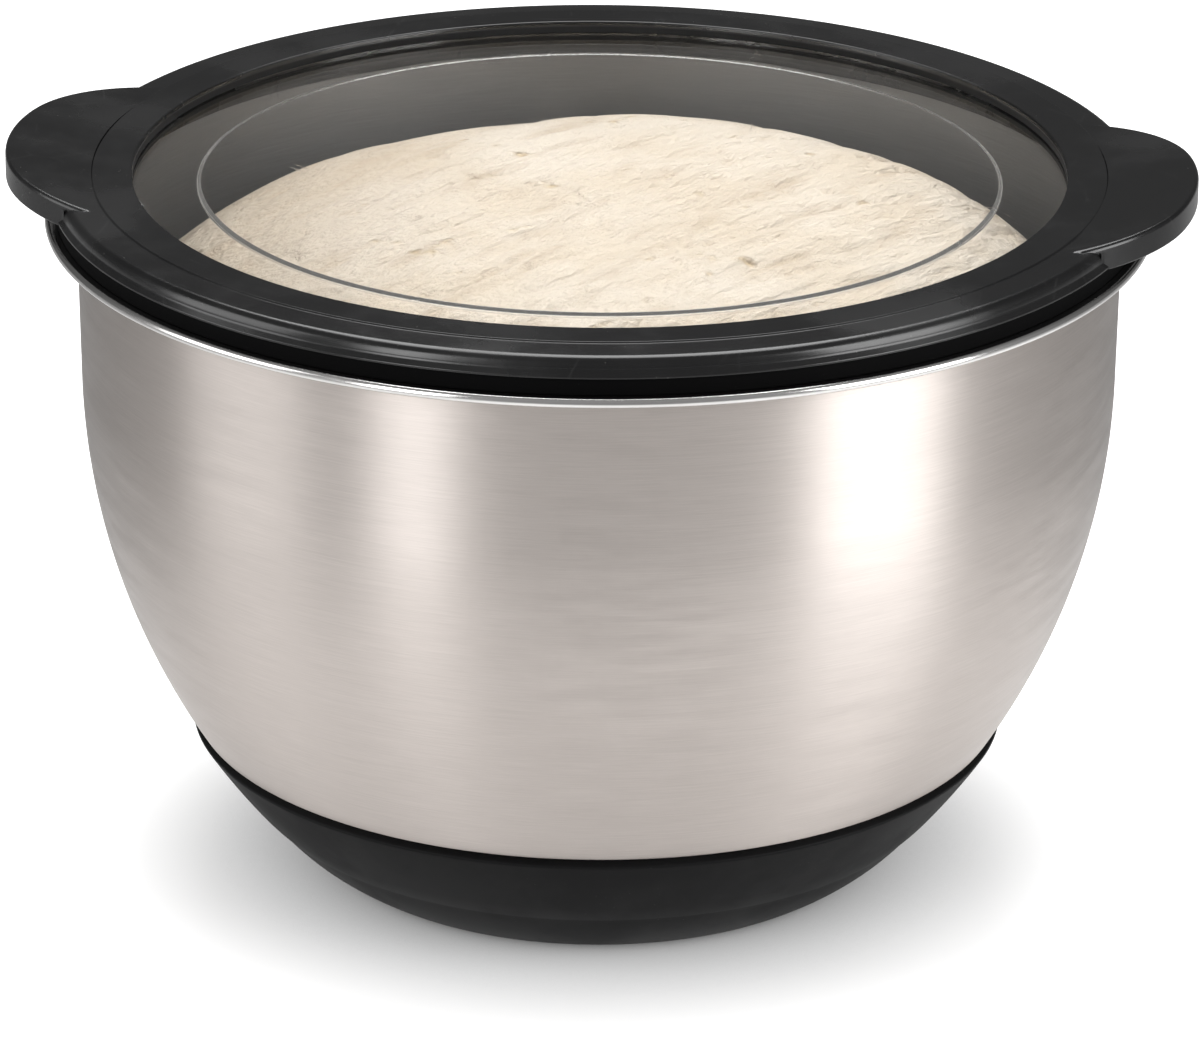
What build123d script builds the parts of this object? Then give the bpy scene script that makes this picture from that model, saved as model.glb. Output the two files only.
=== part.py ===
"""Dough proofing container: a steel bowl on a soft foot, with a press-on lid.

Millimetres, +Z up. The origin is on the surface the container stands on, at
the bowl's axis. The lid's two finger tabs point along +X and -X.
"""

import math
import os

from build123d import *

# ---------------------------------------------------------------- steel bowl
mouth_radius = 123.0  # outside of the wall, at the height of the rim
flange_width = 7.4  # from the wall's outside to the edge of the rolled rim
rim_height = 161.7  # top of the rim above the table
sheet = 0.8  # thickness of the drawn steel
wall_draft = 0.9  # degrees the upright wall leans outwards
wall_foot_height = 121.5  # where the upright wall runs into the belly's curve
belly_radius = 165.0  # long curve of the side
heel_radius = 45.0  # tighter curve from the side into the floor
floor_height = 3.0  # underside of the steel floor above the table
rolled_edge_radius = 1.2  # round of the rolled rim
flange_root_fillet = 1.6  # under the flange, where the wall turns outwards
mouth_fillet = 2.4  # over the flange, where the inside turns outwards

# ----------------------------------------------------------------- soft foot
seat_height = 36.0  # where the steel steps inwards to seat the foot
seat_depth = 0.9  # how far it steps in, square to its surface
seat_fillet = 0.5  # round of the steel's lower edge there
lip_gap = 1.3  # shadow gap between the steel's edge and the foot's lip
boot_thickness = 2.3  # skin over the bowl's curve
boot_bond = 0.05  # film of adhesive between steel and foot
foot_spread = 15.2  # how far the foot's edge stands outside the flat floor
flank_height = 13.5  # where the foot's flank meets the curved skin
flank_bulge = 1.0  # rise of the flank's curve over a straight line
foot_edge_fillet = 1.2
boot_lip_fillet = 0.6
foot_recess_depth = 0.8  # hollow under the middle, so it stands on a ring
foot_ring_width = 14.0

# ----------------------------------------------------------------- lid frame
rim_show = 1.7  # width of steel rim that shows outside the lid
lid_lip = 4.1  # height of the seal's lip between rim and lid
ring_height = 5.4  # from the skirt's bottom edge to the flat top
ring_width = 18.9  # from the window's edge to the skirt's edge
plate_thickness = 2.4  # top plate of the moulding
skirt_thickness = 2.1  # outer wall of the moulding
top_flat_width = 9.3  # flat top next to the window
top_step = 0.35  # small step down from the flat to the sloping border
step_run = 0.3
slope_drop = 0.55  # fall of the sloping border
shoulder_inset = 1.0  # upright wall's distance inside the skirt's edge
shoulder_fillet = 1.4
flare_height = 1.8  # flared foot of the skirt
edge_height = 0.5  # upright edge below the flare
flare_fillet = 1.0
window_wall = 4.1  # wall round the window, which holds the pane
window_wall_drop = 1.0  # how far that wall hangs below the skirt's edge
window_edge_fillet = 0.5
rib_thickness = 1.8  # downward rib that carries the seal
rib_depth = 7.4  # rib below the skirt's edge
hook_height = 0.7  # bead along the rib's bottom that keeps the seal on
hook_width = 0.6

# ------------------------------------------------------------------ lid tabs
tab_reach = 11.7  # tip of the tab outside the skirt's edge
tab_end_radius = 72.0  # shallow round of the tab's end, seen from above
tab_corner_radius = 42.0  # rounds that lead from the end into the sides
tab_half_width = 49.6
tab_rise = 6.8  # degrees the tab rises outwards
tab_lift = 0.3  # tab's top above the ring's flat top, where it leaves it
tab_thickness = 6.2
tab_edge_fillet = 1.1
tab_wall = 2.2  # wall and top of the hollow tab
tab_root_fillet = 3.0  # round between the tab's side and the ring
root_sink = 1.3  # top of that round below the ring's flat top

# --------------------------------------------------------------- window pane
pane_thickness = 2.0
pane_sink = 3.05  # pane's top below the ring's flat top
pane_groove_depth = 2.0  # groove in the window wall
pane_fit = 0.1  # clearance of the pane in its groove
plateau_inset = 16.0  # moulded step's distance inside the window's edge
plateau_rise = 0.6
plateau_run = 1.2  # width of the step's slope

# ---------------------------------------------------------------------- seal
mouth_clearance = 0.35  # between the seal's fin and the steel
sleeve_thickness = 1.8
rib_fit = 0.1  # clearance of the seal on its rib
fin_reach = 0.6
fin_height = 1.6
lip_inset = 0.85  # seal's lip inside the skirt's edge
seal_edge_fillet = 0.4

# ------------------------------------------------- places worked out of these
draft = math.radians(wall_draft)
rim_radius = mouth_radius + flange_width
flange_underside = rim_height - sheet


def wall_radius(height):
    """Outside radius of the upright wall at a height."""
    return mouth_radius - (rim_height - height) * math.tan(draft)


belly_centre = (
    wall_radius(wall_foot_height) - belly_radius * math.cos(draft),
    wall_foot_height + belly_radius * math.sin(draft),
)
heel_centre_height = floor_height + heel_radius
heel_centre = (
    belly_centre[0]
    + math.sqrt(
        (belly_radius - heel_radius) ** 2
        - (belly_centre[1] - heel_centre_height) ** 2
    ),
    heel_centre_height,
)
heel_angle = math.atan2(
    belly_centre[1] - heel_centre[1], heel_centre[0] - belly_centre[0]
)

foot_radius = heel_centre[0] + foot_spread
skirt_radius = rim_radius - rim_show
skirt_bottom = rim_height + lid_lip
ring_top = skirt_bottom + ring_height
plate_underside = ring_top - plate_thickness
window_radius = skirt_radius - ring_width
shoulder_radius = skirt_radius - shoulder_inset
mouth_inside = wall_radius(skirt_bottom - rib_depth) - sheet / math.cos(draft)
fin_radius = mouth_inside - mouth_clearance
sleeve_radius = fin_radius - fin_reach
rib_radius = sleeve_radius - sleeve_thickness - rib_fit
rib_bottom = skirt_bottom - rib_depth
tab_tip = skirt_radius + tab_reach
tab_start = window_radius + top_flat_width + step_run / 2
tab_end_centre = tab_tip - tab_end_radius
tab_corner_y = tab_half_width - tab_corner_radius
tab_corner_x = tab_end_centre + math.sqrt(
    (tab_end_radius - tab_corner_radius) ** 2 - tab_corner_y**2
)
pane_top = ring_top - pane_sink
pane_bottom = pane_top - pane_thickness


def on_circle(centre, radius, angle):
    """Point on a circle, the angle counted downwards from the +X side."""
    return (
        centre[0] + radius * math.cos(angle),
        centre[1] - radius * math.sin(angle),
    )


def skin_radius(grow, height):
    """Radius of the bowl's side, grown outwards, at a height on its curves."""
    heel_top = on_circle(heel_centre, heel_radius + grow, heel_angle)[1]
    centre, radius = (
        (heel_centre, heel_radius) if height < heel_top else (belly_centre, belly_radius)
    )
    return centre[0] + math.sqrt((radius + grow) ** 2 - (centre[1] - height) ** 2)


def bowl_outline(grow, top):
    """Half section of the bowl's smooth form, grown outwards by an offset."""
    floor = floor_height - grow
    heel_start = (heel_centre[0], floor)
    heel_middle = on_circle(
        heel_centre, heel_radius + grow, (heel_angle + math.pi / 2) / 2
    )
    heel_end = on_circle(heel_centre, heel_radius + grow, heel_angle)
    belly_middle = on_circle(belly_centre, belly_radius + grow, (heel_angle + draft) / 2)
    belly_end = on_circle(belly_centre, belly_radius + grow, draft)
    wall_end = (wall_radius(top) + grow / math.cos(draft), top)
    with BuildSketch(Plane.XZ) as outline:
        with BuildLine():
            Line((0, floor), heel_start)
            ThreePointArc(heel_start, heel_middle, heel_end)
            ThreePointArc(heel_end, belly_middle, belly_end)
            Line(belly_end, wall_end)
            Polyline(wall_end, (0, top), (0, floor))
        make_face()
    return outline.sketch_local


def above_line(height, gap):
    """Everything above a line square to the belly's curve, a gap below a height."""
    angle = math.asin((belly_centre[1] - height) / belly_radius) + gap / belly_radius
    reach = 2 * belly_radius
    with BuildSketch(Plane.XZ) as region:
        with BuildLine():
            Polyline(
                belly_centre,
                on_circle(belly_centre, reach, angle),
                (belly_centre[0] + reach, rim_height),
                (belly_centre[0], rim_height),
                close=True,
            )
        make_face()
    return region.sketch_local


def stepped_outline(grow, step_height, top):
    """The same form, narrower below a height, where the foot has its seat."""
    with BuildSketch(Plane.XZ) as outline:
        add(bowl_outline(grow, top))
        with Locations((0, step_height)):
            Rectangle(
                2 * rim_radius, step_height, align=(Align.CENTER, Align.MAX), mode=Mode.SUBTRACT
            )
        add(bowl_outline(grow - seat_depth, top))
    return outline.sketch_local


# ------------------------------------------------------------------ the bowl
# One drawn sheet: upright wall, long belly, a small step in above the foot,
# tight heel, and an outward flange that ends in a rolled edge.
with BuildPart() as bowl_shell:
    with BuildSketch(Plane.XZ) as bowl_section:
        add(stepped_outline(0, seat_height, rim_height))
        flange_start = mouth_radius - sheet
        rolled_centre = (rim_radius - rolled_edge_radius, rim_height - rolled_edge_radius)
        with Locations(((flange_start + rolled_centre[0]) / 2, rim_height - sheet / 2)):
            Rectangle(rolled_centre[0] - flange_start, sheet)
        with Locations(rolled_centre):
            Circle(rolled_edge_radius)
        add(stepped_outline(-sheet, seat_height + sheet, rim_height), mode=Mode.SUBTRACT)
        corners = bowl_section.vertices()
        fillet(
            corners.sort_by_distance((skin_radius(0, seat_height), seat_height))[0],
            seat_fillet,
        )
        corners = bowl_section.vertices()
        fillet(
            corners.sort_by_distance((wall_radius(flange_underside), flange_underside))[0],
            flange_root_fillet,
        )
        corners = bowl_section.vertices()
        mouth_edge = wall_radius(rim_height) - sheet / math.cos(draft)
        fillet(corners.sort_by_distance((mouth_edge, rim_height))[0], mouth_fillet)
    revolve(axis=Axis.Z)

# ------------------------------------------------------------- the soft foot
# A moulded cup that follows the bowl's own curve and stands on a flat ring.
# Its lip ends square to the curve, under the steel's edge, and stands proud.
with BuildPart() as base_boot:
    with BuildSketch(Plane.XZ) as boot_section:
        boot_inside = boot_bond - seat_depth
        boot_skin = boot_inside + boot_thickness
        flank_top = (skin_radius(boot_skin, flank_height), flank_height)
        add(bowl_outline(boot_skin, rim_height))
        with BuildLine():
            SagittaArc((foot_radius, 0), flank_top, -flank_bulge)
            Polyline(flank_top, (0, flank_height), (0, 0), (foot_radius, 0))
        make_face()
        add(bowl_outline(boot_inside, rim_height), mode=Mode.SUBTRACT)
        add(above_line(seat_height, lip_gap), mode=Mode.SUBTRACT)
        with Locations((0, 0)):
            Rectangle(
                foot_radius - foot_ring_width,
                foot_recess_depth,
                align=(Align.MIN, Align.MIN),
                mode=Mode.SUBTRACT,
            )
        foot_edge = boot_section.vertices().sort_by_distance((foot_radius, 0))[0]
        fillet(foot_edge, foot_edge_fillet)
        lip_angle = (
            math.asin((belly_centre[1] - seat_height) / belly_radius) + lip_gap / belly_radius
        )
        lip_edge = on_circle(belly_centre, belly_radius + boot_skin, lip_angle)
        fillet(boot_section.vertices().sort_by_distance(lip_edge)[0], boot_lip_fillet)
    revolve(axis=Axis.Z)

# ------------------------------------------------------------- the lid frame
# The finger tabs: plates that rise outwards, with a soft upper edge. They start
# at the step in the ring's top, and the ring's wall takes over below it.
rise = math.radians(tab_rise)
tab_plane = Plane(
    origin=(tab_start, 0, ring_top + tab_lift),
    x_dir=(math.cos(rise), 0, math.sin(rise)),
    z_dir=(-math.sin(rise), 0, math.cos(rise)),
)


def tab_outline(inset):
    """A tab seen from above, moved inwards: a shallow end and rounder corners."""
    end_radius, corner_radius = tab_end_radius - inset, tab_corner_radius - inset
    join_angle = math.atan2(tab_corner_y, tab_corner_x - tab_end_centre)
    join = (
        tab_end_centre + end_radius * math.cos(join_angle),
        end_radius * math.sin(join_angle),
    )
    middle_angle = (join_angle + math.pi / 2) / 2
    middle = (
        tab_corner_x + corner_radius * math.cos(middle_angle),
        tab_corner_y + corner_radius * math.sin(middle_angle),
    )
    side = (tab_corner_x, tab_corner_y + corner_radius)
    with BuildSketch() as outline:
        with BuildLine():
            ThreePointArc((join[0], -join[1]), (tab_tip - inset, 0), join)
            ThreePointArc(join, middle, side)
            Line(side, (side[0], -side[1]))
            ThreePointArc((side[0], -side[1]), (middle[0], -middle[1]), (join[0], -join[1]))
        make_face()
    return outline.sketch_local


with BuildPart() as tab_blank:
    with BuildSketch(Plane.XY.offset(rim_height)):
        add(tab_outline(0))
    extrude(amount=4 * tab_thickness)
    with BuildSketch(tab_plane):
        Rectangle(2 * rim_radius, 2 * rim_radius)
    extrude(amount=-tab_thickness, mode=Mode.INTERSECT)
    rim_edges = [
        edge
        for edge in tab_blank.edges()
        if edge.geom_type != GeomType.LINE
        and abs(tab_plane.to_local_coords(edge.position_at(0.3)).Z) < 0.01
    ]
    fillet(rim_edges, tab_edge_fillet)
    with Locations((0, 0, ring_top)):
        Cylinder(tab_start, 4 * tab_thickness, mode=Mode.SUBTRACT)

with BuildPart() as tab_pocket:
    with BuildSketch(Plane.XY.offset(rim_height)):
        add(tab_outline(tab_wall))
    extrude(amount=4 * tab_thickness)
    with BuildSketch(tab_plane.offset(-tab_wall)):
        Rectangle(2 * rim_radius, 2 * rim_radius)
    extrude(amount=-2 * tab_thickness, mode=Mode.INTERSECT)
    with Locations((0, 0, ring_top)):
        Cylinder(shoulder_radius, 6 * tab_thickness, mode=Mode.SUBTRACT)

# A thin-walled moulding: top plate, flared skirt, a wall with a groove that
# holds the pane, a hooked rib that carries the seal, and the two hollow tabs.
with BuildPart() as lid_frame:
    with BuildSketch(Plane.XZ) as ring_section:
        flat_end = window_radius + top_flat_width
        border_start = (flat_end + step_run, ring_top - top_step)
        border_end = (shoulder_radius, ring_top - top_step - slope_drop)
        flare_top = (shoulder_radius, skirt_bottom + flare_height)
        flare_end = (skirt_radius, skirt_bottom + edge_height)
        with BuildLine():
            Polyline(
                (window_radius, ring_top),
                (flat_end, ring_top),
                border_start,
                border_end,
                flare_top,
                flare_end,
                (skirt_radius, skirt_bottom),
                (window_radius, skirt_bottom),
                close=True,
            )
        make_face()
        fillet(ring_section.vertices().sort_by_distance(border_end)[0], shoulder_fillet)
        fillet(ring_section.vertices().sort_by_distance(flare_top)[0], flare_fillet)
        window_edge = ring_section.vertices().sort_by_distance((window_radius, ring_top))[0]
        fillet(window_edge, window_edge_fillet)
    revolve(axis=Axis.Z)
    add(tab_blank.part)
    add(mirror(tab_blank.part, about=Plane.YZ))

    # small rounds that lead the ring's shoulder into the tab's side
    ring_reach = shoulder_radius + tab_root_fillet
    corner_reach = tab_corner_radius + tab_root_fillet
    corner_distance = math.hypot(tab_corner_x, tab_corner_y)
    along = (ring_reach**2 - corner_reach**2 + corner_distance**2) / (2 * corner_distance)
    across = math.sqrt(ring_reach**2 - along**2)
    corner_way = Vector(tab_corner_x, tab_corner_y) / corner_distance
    root_centre = corner_way * along + Vector(-corner_way.Y, corner_way.X) * across
    with BuildSketch(Plane.XY.offset(skirt_bottom)) as root_plan:
        for side_x in (1, -1):
            for side_y in (1, -1):
                centre = Vector(side_x * root_centre.X, side_y * root_centre.Y)
                hub = Vector(side_x * tab_corner_x, side_y * tab_corner_y)
                on_ring = centre * (shoulder_radius / centre.length)
                on_tab = hub + (centre - hub) * (tab_corner_radius / (centre - hub).length)
                inside = (on_ring + on_tab) / 2 - (centre - (on_ring + on_tab) / 2) / 2
                with BuildLine():
                    Polyline(on_tab, centre, on_ring, inside, close=True)
                make_face()
                with Locations(centre):
                    Circle(tab_root_fillet, mode=Mode.SUBTRACT)
    extrude(amount=ring_height - root_sink)

    # hollow underside, between the window wall and the skirt
    hollow_start = window_radius + window_wall
    hollow_end = shoulder_radius - skirt_thickness
    with BuildSketch(Plane.XY.offset(skirt_bottom)) as hollow_plan:
        Circle(hollow_end)
        Circle(hollow_start, mode=Mode.SUBTRACT)
    extrude(amount=plate_underside - skirt_bottom, mode=Mode.SUBTRACT)

    # inside the skirt, no part of a tab hangs below it, where the seal lies
    with BuildSketch(Plane.XY.offset(skirt_bottom)) as below_skirt:
        Circle(skirt_radius)
    extrude(amount=-ring_height, mode=Mode.SUBTRACT)

    # hollow undersides of the tabs, outside the skirt
    add(tab_pocket.part, mode=Mode.SUBTRACT)
    add(mirror(tab_pocket.part, about=Plane.YZ), mode=Mode.SUBTRACT)

    # window wall and hooked rib, both hanging from the top plate
    with BuildSketch(Plane.XZ) as wall_section:
        with Locations((window_radius, skirt_bottom - window_wall_drop)):
            Rectangle(
                window_wall,
                plate_underside - skirt_bottom + window_wall_drop,
                align=(Align.MIN, Align.MIN),
            )
        with Locations((rib_radius, rib_bottom)):
            Rectangle(
                rib_thickness,
                plate_underside - rib_bottom,
                align=(Align.MAX, Align.MIN),
            )
            Rectangle(hook_width, hook_height, align=(Align.MIN, Align.MIN))
    revolve(axis=Axis.Z)

    # groove for the pane
    with BuildSketch(Plane.XZ) as groove_section:
        with Locations((window_radius, pane_bottom - pane_fit)):
            Rectangle(
                pane_groove_depth,
                pane_thickness + 2 * pane_fit,
                align=(Align.MIN, Align.MIN),
            )
    revolve(axis=Axis.Z, mode=Mode.SUBTRACT)

# ----------------------------------------------------------- the window pane
# A clear disc of even thickness with a low moulded plateau.
with BuildPart() as lid_window:
    pane_radius = window_radius + pane_groove_depth - pane_fit
    plateau_radius = window_radius - plateau_inset
    step_radius = plateau_radius + plateau_run
    with BuildSketch(Plane.XZ) as pane_section:
        with BuildLine():
            Polyline(
                (0, pane_top + plateau_rise),
                (plateau_radius, pane_top + plateau_rise),
                (step_radius, pane_top),
                (pane_radius, pane_top),
                (pane_radius, pane_bottom),
                (step_radius, pane_bottom),
                (plateau_radius, pane_bottom + plateau_rise),
                (0, pane_bottom + plateau_rise),
                close=True,
            )
        make_face()
    revolve(axis=Axis.Z)

# ------------------------------------------------------------------ the seal
# A soft ring sleeved over the rib: a flat lip on the rim, a fin in the mouth.
with BuildPart() as lid_seal:
    sleeve_inside = rib_radius + rib_fit
    sleeve_bottom = rib_bottom + hook_height + rib_fit
    with BuildSketch(Plane.XZ) as seal_section:
        with BuildLine():
            Polyline(
                (sleeve_inside, skirt_bottom),
                (skirt_radius - lip_inset, skirt_bottom),
                (skirt_radius - lip_inset, rim_height),
                (sleeve_radius, rim_height),
                (sleeve_radius, sleeve_bottom + fin_height),
                (fin_radius, sleeve_bottom + fin_height / 2),
                (sleeve_radius, sleeve_bottom),
                (sleeve_inside, sleeve_bottom),
                close=True,
            )
        make_face()
        lip_corner = seal_section.vertices().sort_by_distance(
            (skirt_radius - lip_inset, rim_height)
        )[0]
        fillet(lip_corner, seal_edge_fillet)
    revolve(axis=Axis.Z)

# ---------------------------------------------------------------- the output
pieces = {
    "bowl_shell": bowl_shell,
    "base_boot": base_boot,
    "lid_frame": lid_frame,
    "lid_window": lid_window,
    "lid_seal": lid_seal,
}
os.makedirs("parts", exist_ok=True)
for name, piece in pieces.items():
    piece.part.label = name
    export_step(piece.part, f"parts/{name}.step")
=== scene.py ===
# %% [markdown]
# # A steel proofing bowl with a window lid
#
# Bread dough rises in this bowl. It is a deep bowl of brushed steel on a soft black foot, and a black
# moulded ring with a clear pane closes it. The measured model gives the sizes, the bodies that move and
# the names of the pieces. This lesson gives each piece its finished surface: rounded edges, brushed and
# polished metal, matt silicone, handled plastic and clear plastic.
#
# The measured model is loaded first, and nothing in it is moved. Its boxes give most of the sizes below,
# so a change of the model's size changes the picture too.

# %% Load the measured model
import math

import bmesh
import bpy
from mathutils import Matrix, Vector, noise


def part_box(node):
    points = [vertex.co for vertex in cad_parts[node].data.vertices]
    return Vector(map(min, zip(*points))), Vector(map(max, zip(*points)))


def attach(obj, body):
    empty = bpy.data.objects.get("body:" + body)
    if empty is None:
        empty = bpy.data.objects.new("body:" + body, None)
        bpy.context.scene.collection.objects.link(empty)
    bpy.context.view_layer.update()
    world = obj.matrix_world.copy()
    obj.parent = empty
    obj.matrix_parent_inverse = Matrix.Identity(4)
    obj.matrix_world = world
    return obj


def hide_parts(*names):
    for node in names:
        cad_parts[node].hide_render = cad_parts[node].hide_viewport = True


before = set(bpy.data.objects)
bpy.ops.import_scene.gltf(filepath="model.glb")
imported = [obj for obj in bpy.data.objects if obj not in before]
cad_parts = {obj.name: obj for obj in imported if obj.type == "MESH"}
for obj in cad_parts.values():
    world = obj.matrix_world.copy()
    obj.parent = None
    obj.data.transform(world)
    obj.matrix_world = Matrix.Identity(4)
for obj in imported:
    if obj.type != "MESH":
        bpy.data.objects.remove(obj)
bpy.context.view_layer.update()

MILLIMETRES = 1000.0


def box_mm(node):
    """Lowest and highest corner of a measured node, in millimetres."""
    return [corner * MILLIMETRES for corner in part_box(node)]


bowl_low, bowl_high = box_mm("bowl_shell")
ring_low, ring_high = box_mm("lid_frame")
pane_low, pane_high = box_mm("lid_window")
seal_low, seal_high = box_mm("lid_seal")
print("rim across", round(2 * bowl_high.y, 1), "mm, lid's top at", round(ring_high.z, 1), "mm")

# %% [markdown]
# ## The camera
#
# The photograph was taken with a long lens from a little under two metres, looking down by 21.7 degrees.
# A long lens keeps the rings of the lid almost parallel, which is how this bowl looks in the photograph.
# The camera stands in front of the bowl, a few degrees round to the right of the square view of its tabs.

# %% Set up the camera
CAMERA_TURN = 6.0  # degrees round the bowl from the square view
CAMERA_PLACE = (0.00274, -1.69856, 0.75617)  # metres, before that turn
CAMERA_DOWN = 21.7315
CAMERA_YAW = 0.0725
CAMERA_ROLL = 0.3612
CAMERA_LENS = 229.13  # millimetres, on a sensor 36 mm wide
round_the_bowl = Matrix.Rotation(math.radians(CAMERA_TURN), 4, "Z")
aim = (
    Matrix.Rotation(math.radians(CAMERA_YAW), 4, "Z")
    @ Matrix.Rotation(math.radians(90 - CAMERA_DOWN), 4, "X")
    @ Matrix.Rotation(math.radians(CAMERA_ROLL), 4, "Z")
)
camera = bpy.data.objects.new("camera", bpy.data.cameras.new("camera"))
camera.data.lens = CAMERA_LENS
camera.data.sensor_width = 36.0
camera.data.clip_end = 60.0
camera.matrix_world = round_the_bowl @ Matrix.Translation(CAMERA_PLACE) @ aim
bpy.context.scene.collection.objects.link(camera)
bpy.context.scene.camera = camera
print("camera at", [round(value, 3) for value in camera.matrix_world.translation])

# %% [markdown]
# ## A pen for sections
#
# Nearly every piece here is round, so it is drawn as half a section and spun once about the Z axis, as
# clay is turned on a wheel. The section lies in the plane of X and Z and is drawn in millimetres. A pen
# draws it: it goes straight to a point, it sweeps an arc about a centre, or it follows corners and
# rounds each of them. Both kinds of arc spin the pen's last point, so they are true circles.
#
# A turn about the Y axis is positive when it leads from up (+Z) to the right (+X), which is clockwise as
# the section is seen here.

# %% Draw sections
def start_section(x, z):
    """A new mesh that holds the first point of a section, and that point as the pen."""
    bm = bmesh.new()
    return bm, bm.verts.new((x, 0, z))


def line_to(bm, pen, x, z):
    """Draws a straight run and returns its end."""
    end = bm.verts.new((x, 0, z))
    bm.edges.new((pen, end))
    return end


def arc_about(bm, pen, centre, turn, steps):
    """Sweeps the pen about a centre, given as x and z, through a turn in radians."""
    swept = bmesh.ops.spin(
        bm, geom=[pen], cent=(centre[0], 0, centre[1]), axis=(0, 1, 0), angle=turn, steps=steps
    )
    return next(item for item in swept["geom_last"] if isinstance(item, bmesh.types.BMVert))


def path_to(bm, pen, corners, steps=4):
    """Follows corners, each given as x, z and the radius of its round, and ends on the last one."""
    for (x, z, radius), (next_x, next_z, _) in zip(corners, corners[1:]):
        corner = Vector((x, 0, z))
        arriving = (corner - pen.co).normalized()
        leaving = (Vector((next_x, 0, next_z)) - corner).normalized()
        turn = math.copysign(arriving.angle(leaving), arriving.cross(leaving).y)
        start = corner - arriving * radius * math.tan(abs(turn) / 2)
        pen = line_to(bm, pen, start.x, start.z)
        if radius:
            side = math.copysign(radius, turn)
            centre = (start.x + side * arriving.z, start.z - side * arriving.x)
            pen = arc_about(bm, pen, centre, turn, steps)
    return line_to(bm, pen, corners[-1][0], corners[-1][1])


# %% [markdown]
# ## From section to piece
#
# The spin makes 256 steps, so the long edge of the rim stays round even close up. Where a section starts
# and ends on the axis, the spin leaves a ring of equal points, and merging them closes the pole. The
# normals are worked out after that. Edges that are meant to stay crisp are marked sharp, and a weighted
# normal modifier lets the broad faces decide the shading, so the narrow rounds catch the light cleanly.
# A finished piece keeps its object at the origin, with its place in its mesh, in metres.

# %% Turn sections into pieces
LATHE_STEPS = 256
WELD = 0.0005  # millimetres, closer than any two points of a section
SHARP_ANGLE = math.radians(38)


def lathe(bm, steps=LATHE_STEPS):
    """Spins a section once about the Z axis, closes its poles and turns its faces outwards."""
    bmesh.ops.spin(
        bm,
        geom=bm.verts[:] + bm.edges[:],
        cent=(0, 0, 0),
        axis=(0, 0, 1),
        angle=math.tau,
        steps=steps,
        use_merge=True,
    )
    bmesh.ops.remove_doubles(bm, verts=bm.verts, dist=WELD)
    bmesh.ops.recalc_face_normals(bm, faces=bm.faces)
    return bm


def shade(bm):
    """Smooth faces, with sharp edges where two of them meet at a clear angle."""
    for face in bm.faces:
        face.smooth = True
    for edge in bm.edges:
        edge.smooth = edge.is_manifold and edge.calc_face_angle() < SHARP_ANGLE


def make_object(bm, name, materials):
    """Scales a finished mesh from millimetres to metres and gives it an object."""
    shade(bm)
    bmesh.ops.scale(bm, vec=(1 / MILLIMETRES,) * 3, verts=bm.verts)
    mesh = bpy.data.meshes.new(name)
    bm.to_mesh(mesh)
    bm.free()
    for material in materials:
        mesh.materials.append(material)
    piece = bpy.data.objects.new(name, mesh)
    bpy.context.scene.collection.objects.link(piece)
    return piece


def finish_piece(piece, body, node):
    """Lets a piece stand for its measured node, on that node's body, with weighted normals."""
    weighted = piece.modifiers.new("weighted_normals", "WEIGHTED_NORMAL")
    weighted.keep_sharp = True
    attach(piece, body)
    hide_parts(node)
    print(piece.name, "has", len(piece.data.polygons), "faces")
    return piece


# %% [markdown]
# ## Materials from nodes
#
# Each material is a small tree round one Principled shader. Two short helpers keep the trees readable:
# one makes a node and fills its sockets, with values or with links, and one starts a material. Numbers
# that are the same all over a surface are set on the shader itself. What varies over the surface comes
# from shared node groups, which put out masks and heights only.

# %% Node helpers
def add_node(tree, kind, inputs=None, **settings):
    """Makes a node. Inputs are keyed by socket name or number and hold a value or another socket."""
    node = tree.nodes.new(kind)
    for key, value in settings.items():
        setattr(node, key, value)
    for key, value in (inputs or {}).items():
        if isinstance(value, bpy.types.NodeSocket):
            tree.links.new(value, node.inputs[key])
        else:
            node.inputs[key].default_value = value
    return node


def maths(tree, operation, first, second=0.0, clamp=False):
    """The result of one Math node."""
    inputs = {0: first, 1: second}
    return add_node(tree, "ShaderNodeMath", inputs, operation=operation, use_clamp=clamp).outputs[0]


def ramp(tree, value, low, high, low_out=0.0, high_out=1.0):
    """A value taken smoothly from one range to another."""
    inputs = {"Value": value, "From Min": low, "From Max": high, "To Min": low_out, "To Max": high_out}
    node = add_node(tree, "ShaderNodeMapRange", inputs, interpolation_type="SMOOTHSTEP")
    return node.outputs["Result"]


def mix_colours(tree, mask, first, second):
    """One colour painted over another by a mask."""
    inputs = {0: mask, 6: first, 7: second}
    return add_node(tree, "ShaderNodeMix", inputs, data_type="RGBA").outputs[2]


def noise_value(tree, vector, scale, detail=3.0, roughness=0.5):
    """Soft noise between 0 and 1."""
    inputs = {"Vector": vector, "Scale": scale, "Detail": detail, "Roughness": roughness}
    return add_node(tree, "ShaderNodeTexNoise", inputs).outputs["Fac"]


def object_place(tree):
    """Where a point lies on its piece, in metres."""
    return add_node(tree, "ShaderNodeTexCoord").outputs["Object"]


def axis_distance(tree, place):
    """How far a point lies from the Z axis, in metres."""
    flat = add_node(tree, "ShaderNodeVectorMath", {0: place, 1: (1, 1, 0)}, operation="MULTIPLY")
    length = add_node(tree, "ShaderNodeVectorMath", {0: flat.outputs[0]}, operation="LENGTH")
    return length.outputs["Value"]


def start_material(name, **values):
    """A material with a Principled shader, whose plain values are set by socket name."""
    material = bpy.data.materials.new(name)
    material.use_nodes = True
    tree = material.node_tree
    shader = tree.nodes["Principled BSDF"]
    for socket, value in values.items():
        shader.inputs[socket.replace("_", " ")].default_value = value
    return material, tree, shader


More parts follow.
